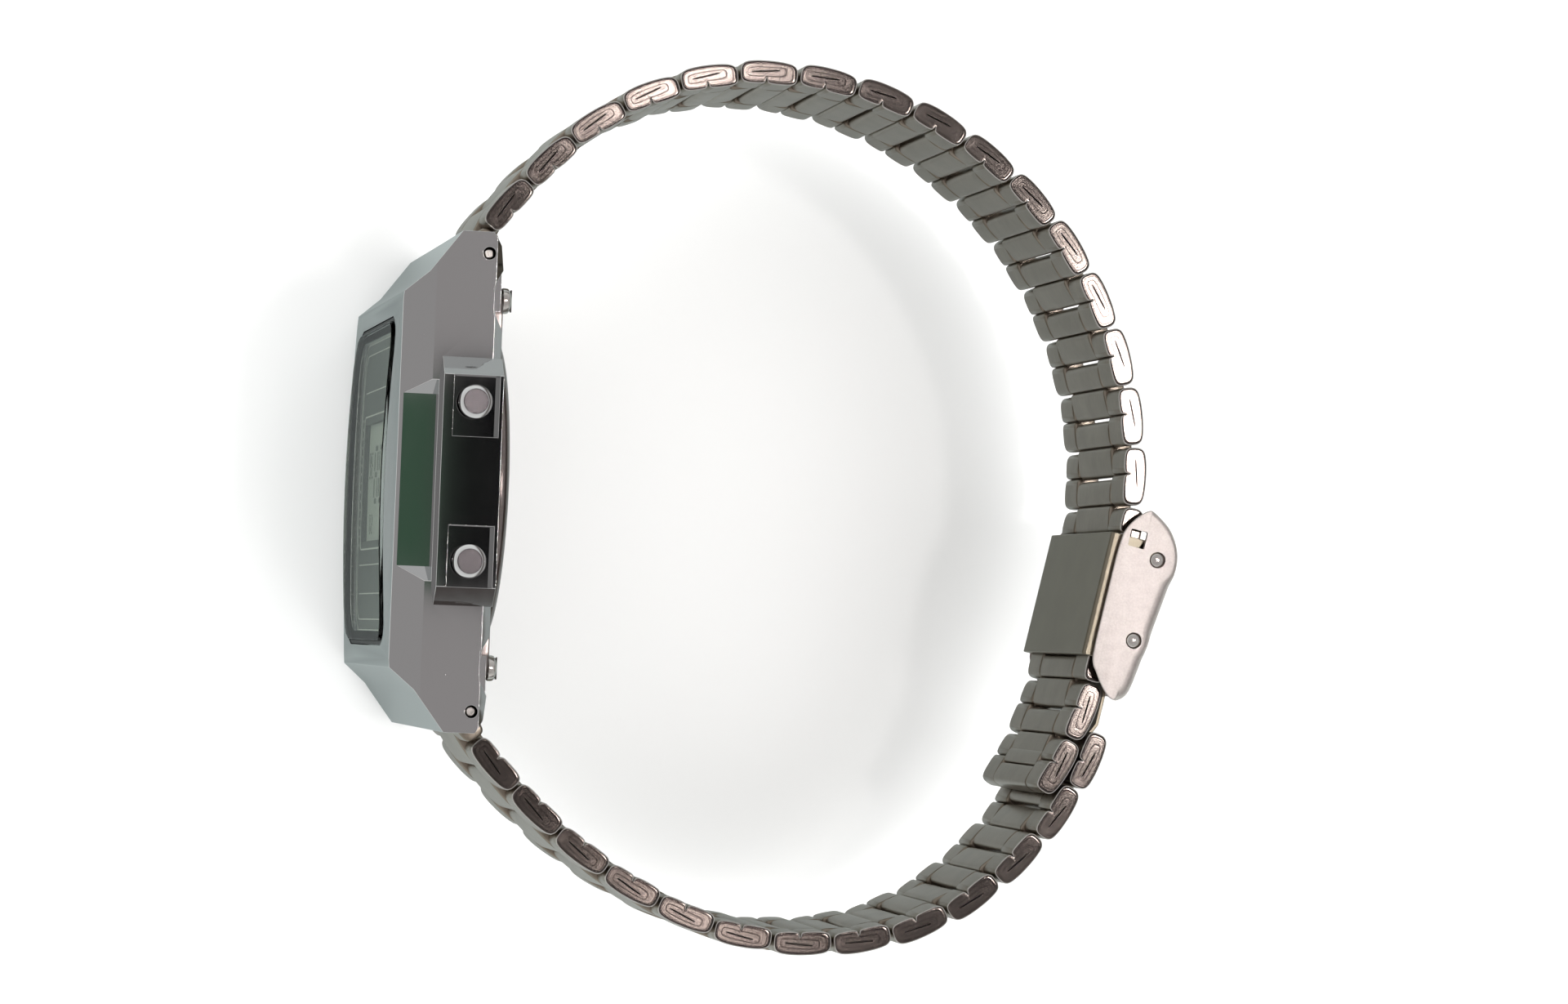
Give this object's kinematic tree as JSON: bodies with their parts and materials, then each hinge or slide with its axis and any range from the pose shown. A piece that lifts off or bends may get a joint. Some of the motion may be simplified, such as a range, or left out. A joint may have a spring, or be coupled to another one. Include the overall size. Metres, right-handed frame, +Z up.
{
  "type": "digital watch",
  "caption": "Square digital watch in a chromed case with recessed push buttons, on a folded-link steel bracelet closed by a sliding clasp with a hinged cover.",
  "frame": {"origin": "centre of the bounding box on the plane that the watch lies on, with its 3 o'clock side down", "axes": "+Z up, out of the 9 o'clock side and along every bracelet pin; +Y towards the 6 o'clock end; +X from the dial through the case back towards the clasp"},
  "size_m": [0.0648, 0.0706, 0.0363],
  "materials": {
    "chrome_case": "polished chrome plate",
    "band_steel": "fine brushed",
    "clasp_steel": "satin",
    "back_steel": "brushed",
    "button_chrome": "polished",
    "crystal": "clear, polished",
    "seal_rubber": "matt",
    "dial_plastic": "printed, semi matt",
    "lcd_glass": "smooth",
    "frame_plastic": "moulded",
    "board_laminate": "coated",
    "cell_steel": "nickel plated",
    "brass": "plain"
  },
  "bodies": {
    "case": {"case_body": "chrome_case", "crystal_glass": "crystal", "glass_gasket": "seal_rubber", "dial_panel": "dial_plastic", "lcd_panel": "lcd_glass", "module_frame": "frame_plastic", "circuit_board": "board_laminate", "battery": "cell_steel", "battery_strap": "back_steel", "buzzer_disc": "brass", "back_gasket": "seal_rubber", "back_plate": "back_steel", "back_screws": "back_steel", "spring_bars": "back_steel", "button_seals": "seal_rubber"},
    "button_light": {"button_light": "button_chrome"},
    "button_mode": {"button_mode": "button_chrome"},
    "button_alarm": {"button_alarm": "button_chrome"},
    "long_end": {"long_end_link": "band_steel"},
    "long_01": {"long_link_01": "band_steel"},
    "long_02": {"long_link_02": "band_steel"},
    "long_03": {"long_link_03": "band_steel"},
    "long_04": {"long_link_04": "band_steel"},
    "long_05": {"long_link_05": "band_steel"},
    "long_06": {"long_link_06": "band_steel"},
    "long_07": {"long_link_07": "band_steel"},
    "long_08": {"long_link_08": "band_steel"},
    "long_09": {"long_link_09": "band_steel"},
    "long_10": {"long_link_10": "band_steel"},
    "long_11": {"long_link_11": "band_steel"},
    "long_12": {"long_link_12": "band_steel"},
    "long_13": {"long_link_13": "band_steel"},
    "long_14": {"long_link_14": "band_steel"},
    "long_15": {"long_link_15": "band_steel"},
    "long_16": {"long_link_16": "band_steel"},
    "clasp_base": {"long_link_17": "band_steel", "long_link_18": "band_steel", "long_link_19": "band_steel", "clamp_sleeve": "clasp_steel"},
    "tail_20": {"long_link_20": "band_steel"},
    "tail_21": {"long_link_21": "band_steel"},
    "cover": {"clasp_cover": "clasp_steel", "cover_pin": "back_steel", "hook_bar": "back_steel"},
    "lock": {"lock_plate": "back_steel"},
    "short_end": {"short_end_link": "band_steel"},
    "short_01": {"short_link_01": "band_steel"},
    "short_02": {"short_link_02": "band_steel"},
    "short_03": {"short_link_03": "band_steel"},
    "short_04": {"short_link_04": "band_steel"},
    "short_05": {"short_link_05": "band_steel"},
    "short_06": {"short_link_06": "band_steel"},
    "short_07": {"short_link_07": "band_steel"},
    "short_08": {"short_link_08": "band_steel"},
    "short_09": {"short_link_09": "band_steel"},
    "short_10": {"short_link_10": "band_steel"},
    "short_11": {"short_link_11": "band_steel"},
    "short_12": {"short_link_12": "band_steel"},
    "short_13": {"short_link_13": "band_steel"},
    "hook": {"hook_plate": "clasp_steel"}
  },
  "joints": [
    {"name": "long_end_link_hinge", "type": "hinge", "parent": "case", "child": "long_end", "pos_m": [-0.02518, 0.01819, 0.01815], "axis": [0, 0, 1], "range_deg": [-3, 3]},
    {"name": "long_link_01_hinge", "type": "hinge", "parent": "long_end", "child": "long_01", "pos_m": [-0.02355, 0.02184, 0.01815], "axis": [0, 0, 1], "range_deg": [-3, 3]},
    {"name": "long_link_02_hinge", "type": "hinge", "parent": "long_01", "child": "long_02", "pos_m": [-0.02042, 0.02557, 0.01815], "axis": [0, 0, 1], "range_deg": [-2.18, 2.18]},
    {"name": "long_link_03_hinge", "type": "hinge", "parent": "long_02", "child": "long_03", "pos_m": [-0.01698, 0.02902, 0.01815], "axis": [0, 0, 1], "range_deg": [-1.48, 1.48]},
    {"name": "long_link_04_hinge", "type": "hinge", "parent": "long_03", "child": "long_04", "pos_m": [-0.01292, 0.03171, 0.01815], "axis": [0, 0, 1], "range_deg": [-1.92, 1.92]},
    {"name": "long_link_05_hinge", "type": "hinge", "parent": "long_04", "child": "long_05", "pos_m": [-0.0084, 0.03353, 0.01815], "axis": [0, 0, 1], "range_deg": [-1.51, 1.51]},
    {"name": "long_link_06_hinge", "type": "hinge", "parent": "long_05", "child": "long_06", "pos_m": [-0.00362, 0.03442, 0.01815], "axis": [0, 0, 1], "range_deg": [-1.14, 1.14]},
    {"name": "long_link_07_hinge", "type": "hinge", "parent": "long_06", "child": "long_07", "pos_m": [0.00125, 0.03433, 0.01815], "axis": [0, 0, 1], "range_deg": [-2.43, 2.43]},
    {"name": "long_link_08_hinge", "type": "hinge", "parent": "long_07", "child": "long_08", "pos_m": [0.00604, 0.03346, 0.01815], "axis": [0, 0, 1], "range_deg": [-2.93, 2.93]},
    {"name": "long_link_09_hinge", "type": "hinge", "parent": "long_08", "child": "long_09", "pos_m": [0.01063, 0.03182, 0.01815], "axis": [0, 0, 1], "range_deg": [-1.63, 1.63]},
    {"name": "long_link_10_hinge", "type": "hinge", "parent": "long_09", "child": "long_10", "pos_m": [0.01489, 0.02946, 0.01815], "axis": [0, 0, 1], "range_deg": [-2.08, 2.08]},
    {"name": "long_link_11_hinge", "type": "hinge", "parent": "long_10", "child": "long_11", "pos_m": [0.01873, 0.02646, 0.01815], "axis": [0, 0, 1], "range_deg": [-1.63, 1.63]},
    {"name": "long_link_12_hinge", "type": "hinge", "parent": "long_11", "child": "long_12", "pos_m": [0.02205, 0.0229, 0.01815], "axis": [0, 0, 1], "range_deg": [-1.25, 1.25]},
    {"name": "long_link_13_hinge", "type": "hinge", "parent": "long_12", "child": "long_13", "pos_m": [0.02477, 0.01886, 0.01815], "axis": [0, 0, 1], "range_deg": [-2.53, 2.53]},
    {"name": "long_link_14_hinge", "type": "hinge", "parent": "long_13", "child": "long_14", "pos_m": [0.02683, 0.01445, 0.01815], "axis": [0, 0, 1], "range_deg": [-2.62, 2.62]},
    {"name": "long_link_15_hinge", "type": "hinge", "parent": "long_14", "child": "long_15", "pos_m": [0.0282, 0.00977, 0.01815], "axis": [0, 0, 1], "range_deg": [-2.71, 2.71]},
    {"name": "long_link_16_hinge", "type": "hinge", "parent": "long_15", "child": "long_16", "pos_m": [0.02885, 0.00495, 0.01815], "axis": [0, 0, 1], "range_deg": [-3, 3]},
    {"name": "long_link_17_hinge", "type": "hinge", "parent": "long_16", "child": "clasp_base", "pos_m": [0.02876, 0.00008, 0.01815], "axis": [0, 0, 1], "range_deg": [-2.5, 2.5]},
    {"name": "short_end_link_hinge", "type": "hinge", "parent": "case", "child": "short_end", "pos_m": [-0.02518, -0.01691, 0.01815], "axis": [0, 0, 1], "range_deg": [-2.97, 2.97]},
    {"name": "short_link_01_hinge", "type": "hinge", "parent": "short_end", "child": "short_01", "pos_m": [-0.02292, -0.02021, 0.01815], "axis": [0, 0, 1], "range_deg": [-3, 3]},
    {"name": "short_link_02_hinge", "type": "hinge", "parent": "short_01", "child": "short_02", "pos_m": [-0.01957, -0.02374, 0.01815], "axis": [0, 0, 1], "range_deg": [-3, 3]},
    {"name": "short_link_03_hinge", "type": "hinge", "parent": "short_02", "child": "short_03", "pos_m": [-0.01594, -0.02699, 0.01815], "axis": [0, 0, 1], "range_deg": [-3, 3]},
    {"name": "short_link_04_hinge", "type": "hinge", "parent": "short_03", "child": "short_04", "pos_m": [-0.01193, -0.02975, 0.01815], "axis": [0, 0, 1], "range_deg": [-2.39, 2.39]},
    {"name": "short_link_05_hinge", "type": "hinge", "parent": "short_04", "child": "short_05", "pos_m": [-0.00761, -0.032, 0.01815], "axis": [0, 0, 1], "range_deg": [-1.9, 1.9]},
    {"name": "short_link_06_hinge", "type": "hinge", "parent": "short_05", "child": "short_06", "pos_m": [-0.00304, -0.0337, 0.01815], "axis": [0, 0, 1], "range_deg": [-1.43, 1.43]},
    {"name": "short_link_07_hinge", "type": "hinge", "parent": "short_06", "child": "short_07", "pos_m": [0.00177, -0.03443, 0.01815], "axis": [0, 0, 1], "range_deg": [-2.77, 2.77]},
    {"name": "short_link_08_hinge", "type": "hinge", "parent": "short_07", "child": "short_08", "pos_m": [0.00664, -0.03428, 0.01815], "axis": [0, 0, 1], "range_deg": [-2.45, 2.45]},
    {"name": "short_link_09_hinge", "type": "hinge", "parent": "short_08", "child": "short_09", "pos_m": [0.0114, -0.03327, 0.01815], "axis": [0, 0, 1], "range_deg": [-1.59, 1.59]},
    {"name": "short_link_10_hinge", "type": "hinge", "parent": "short_09", "child": "short_10", "pos_m": [0.01581, -0.03119, 0.01815], "axis": [0, 0, 1], "range_deg": [-2.08, 2.08]},
    {"name": "short_link_11_hinge", "type": "hinge", "parent": "short_10", "child": "short_11", "pos_m": [0.01961, -0.02815, 0.01815], "axis": [0, 0, 1], "range_deg": [-3, 3]},
    {"name": "short_link_12_hinge", "type": "hinge", "parent": "short_11", "child": "short_12", "pos_m": [0.02285, -0.02451, 0.01815], "axis": [0, 0, 1], "range_deg": [-3, 3]},
    {"name": "short_link_13_hinge", "type": "hinge", "parent": "short_12", "child": "short_13", "pos_m": [0.02542, -0.02037, 0.01815], "axis": [0, 0, 1], "range_deg": [-3, 3]},
    {"name": "tail_20_hinge", "type": "hinge", "parent": "clasp_base", "child": "tail_20", "pos_m": [0.02573, -0.01421, 0.01815], "axis": [0, 0, 1], "range_deg": [-25, 0]},
    {"name": "tail_21_hinge", "type": "hinge", "parent": "tail_20", "child": "tail_21", "pos_m": [0.02398, -0.01876, 0.01815], "axis": [0, 0, 1], "range_deg": [-25, 0]},
    {"name": "cover_hinge", "type": "hinge", "parent": "clasp_base", "child": "cover", "pos_m": [0.03068, -0.00294, 0.01815], "axis": [0, 0, 1], "range_deg": [0, 100]},
    {"name": "lock_hinge", "type": "hinge", "parent": "clasp_base", "child": "lock", "pos_m": [0.0292, -0.00441, 0.01815], "axis": [0, 0, 1], "range_deg": [0, 20]},
    {"name": "hook_hinge", "type": "hinge", "parent": "short_13", "child": "hook", "pos_m": [0.02633, -0.01811, 0.01815], "axis": [0, 0, 1], "range_deg": [-33, 0]},
    {"name": "button_light_press", "type": "slide", "parent": "case", "child": "button_light", "axis": [0, 0, -1], "range_m": [0, 0.0005], "stiffness_N_per_m": 2000, "springref_m": -0.0005},
    {"name": "button_mode_press", "type": "slide", "parent": "case", "child": "button_mode", "axis": [0, 0, -1], "range_m": [0, 0.0005], "stiffness_N_per_m": 2000, "springref_m": -0.0005},
    {"name": "button_alarm_press", "type": "slide", "parent": "case", "child": "button_alarm", "axis": [0, 0, 1], "range_m": [0, 0.0005], "stiffness_N_per_m": 2000, "springref_m": -0.0005}
  ],
  "couplings": [
    {"joint": "long_link_01_hinge", "follows": "short_link_01_hinge", "ratio": 1},
    {"joint": "long_link_02_hinge", "follows": "short_link_02_hinge", "ratio": 0.7262},
    {"joint": "long_link_03_hinge", "follows": "short_link_03_hinge", "ratio": 0.4937},
    {"joint": "long_link_04_hinge", "follows": "short_link_11_hinge", "ratio": -0.64},
    {"joint": "long_link_05_hinge", "follows": "short_link_12_hinge", "ratio": -0.5042},
    {"joint": "long_link_06_hinge", "follows": "short_link_13_hinge", "ratio": -0.3812},
    {"joint": "long_link_07_hinge", "follows": "long_link_16_hinge", "ratio": 0.81},
    {"joint": "long_link_08_hinge", "follows": "long_link_16_hinge", "ratio": -0.9771},
    {"joint": "long_link_09_hinge", "follows": "long_end_link_hinge", "ratio": -0.5422},
    {"joint": "long_link_10_hinge", "follows": "short_link_01_hinge", "ratio": -0.6934},
    {"joint": "long_link_11_hinge", "follows": "short_link_02_hinge", "ratio": -0.5422},
    {"joint": "long_link_12_hinge", "follows": "short_link_03_hinge", "ratio": -0.4167},
    {"joint": "long_link_13_hinge", "follows": "short_link_11_hinge", "ratio": 0.8421},
    {"joint": "long_link_14_hinge", "follows": "short_link_12_hinge", "ratio": 0.8727},
    {"joint": "long_link_15_hinge", "follows": "short_link_13_hinge", "ratio": 0.9039},
    {"joint": "long_link_17_hinge", "follows": "long_link_16_hinge", "ratio": -0.8329},
    {"joint": "short_end_link_hinge", "follows": "long_end_link_hinge", "ratio": 0.9885},
    {"joint": "short_link_04_hinge", "follows": "short_link_11_hinge", "ratio": -0.7979},
    {"joint": "short_link_05_hinge", "follows": "short_link_12_hinge", "ratio": -0.6315},
    {"joint": "short_link_06_hinge", "follows": "short_link_13_hinge", "ratio": -0.4773},
    {"joint": "short_link_07_hinge", "follows": "short_link_03_hinge", "ratio": -0.9229},
    {"joint": "short_link_08_hinge", "follows": "short_link_02_hinge", "ratio": -0.8159},
    {"joint": "short_link_09_hinge", "follows": "long_end_link_hinge", "ratio": -0.5307},
    {"joint": "short_link_10_hinge", "follows": "short_link_01_hinge", "ratio": -0.6934},
    {"joint": "hook_hinge", "follows": "cover_hinge", "ratio": -0.33}
  ]
}
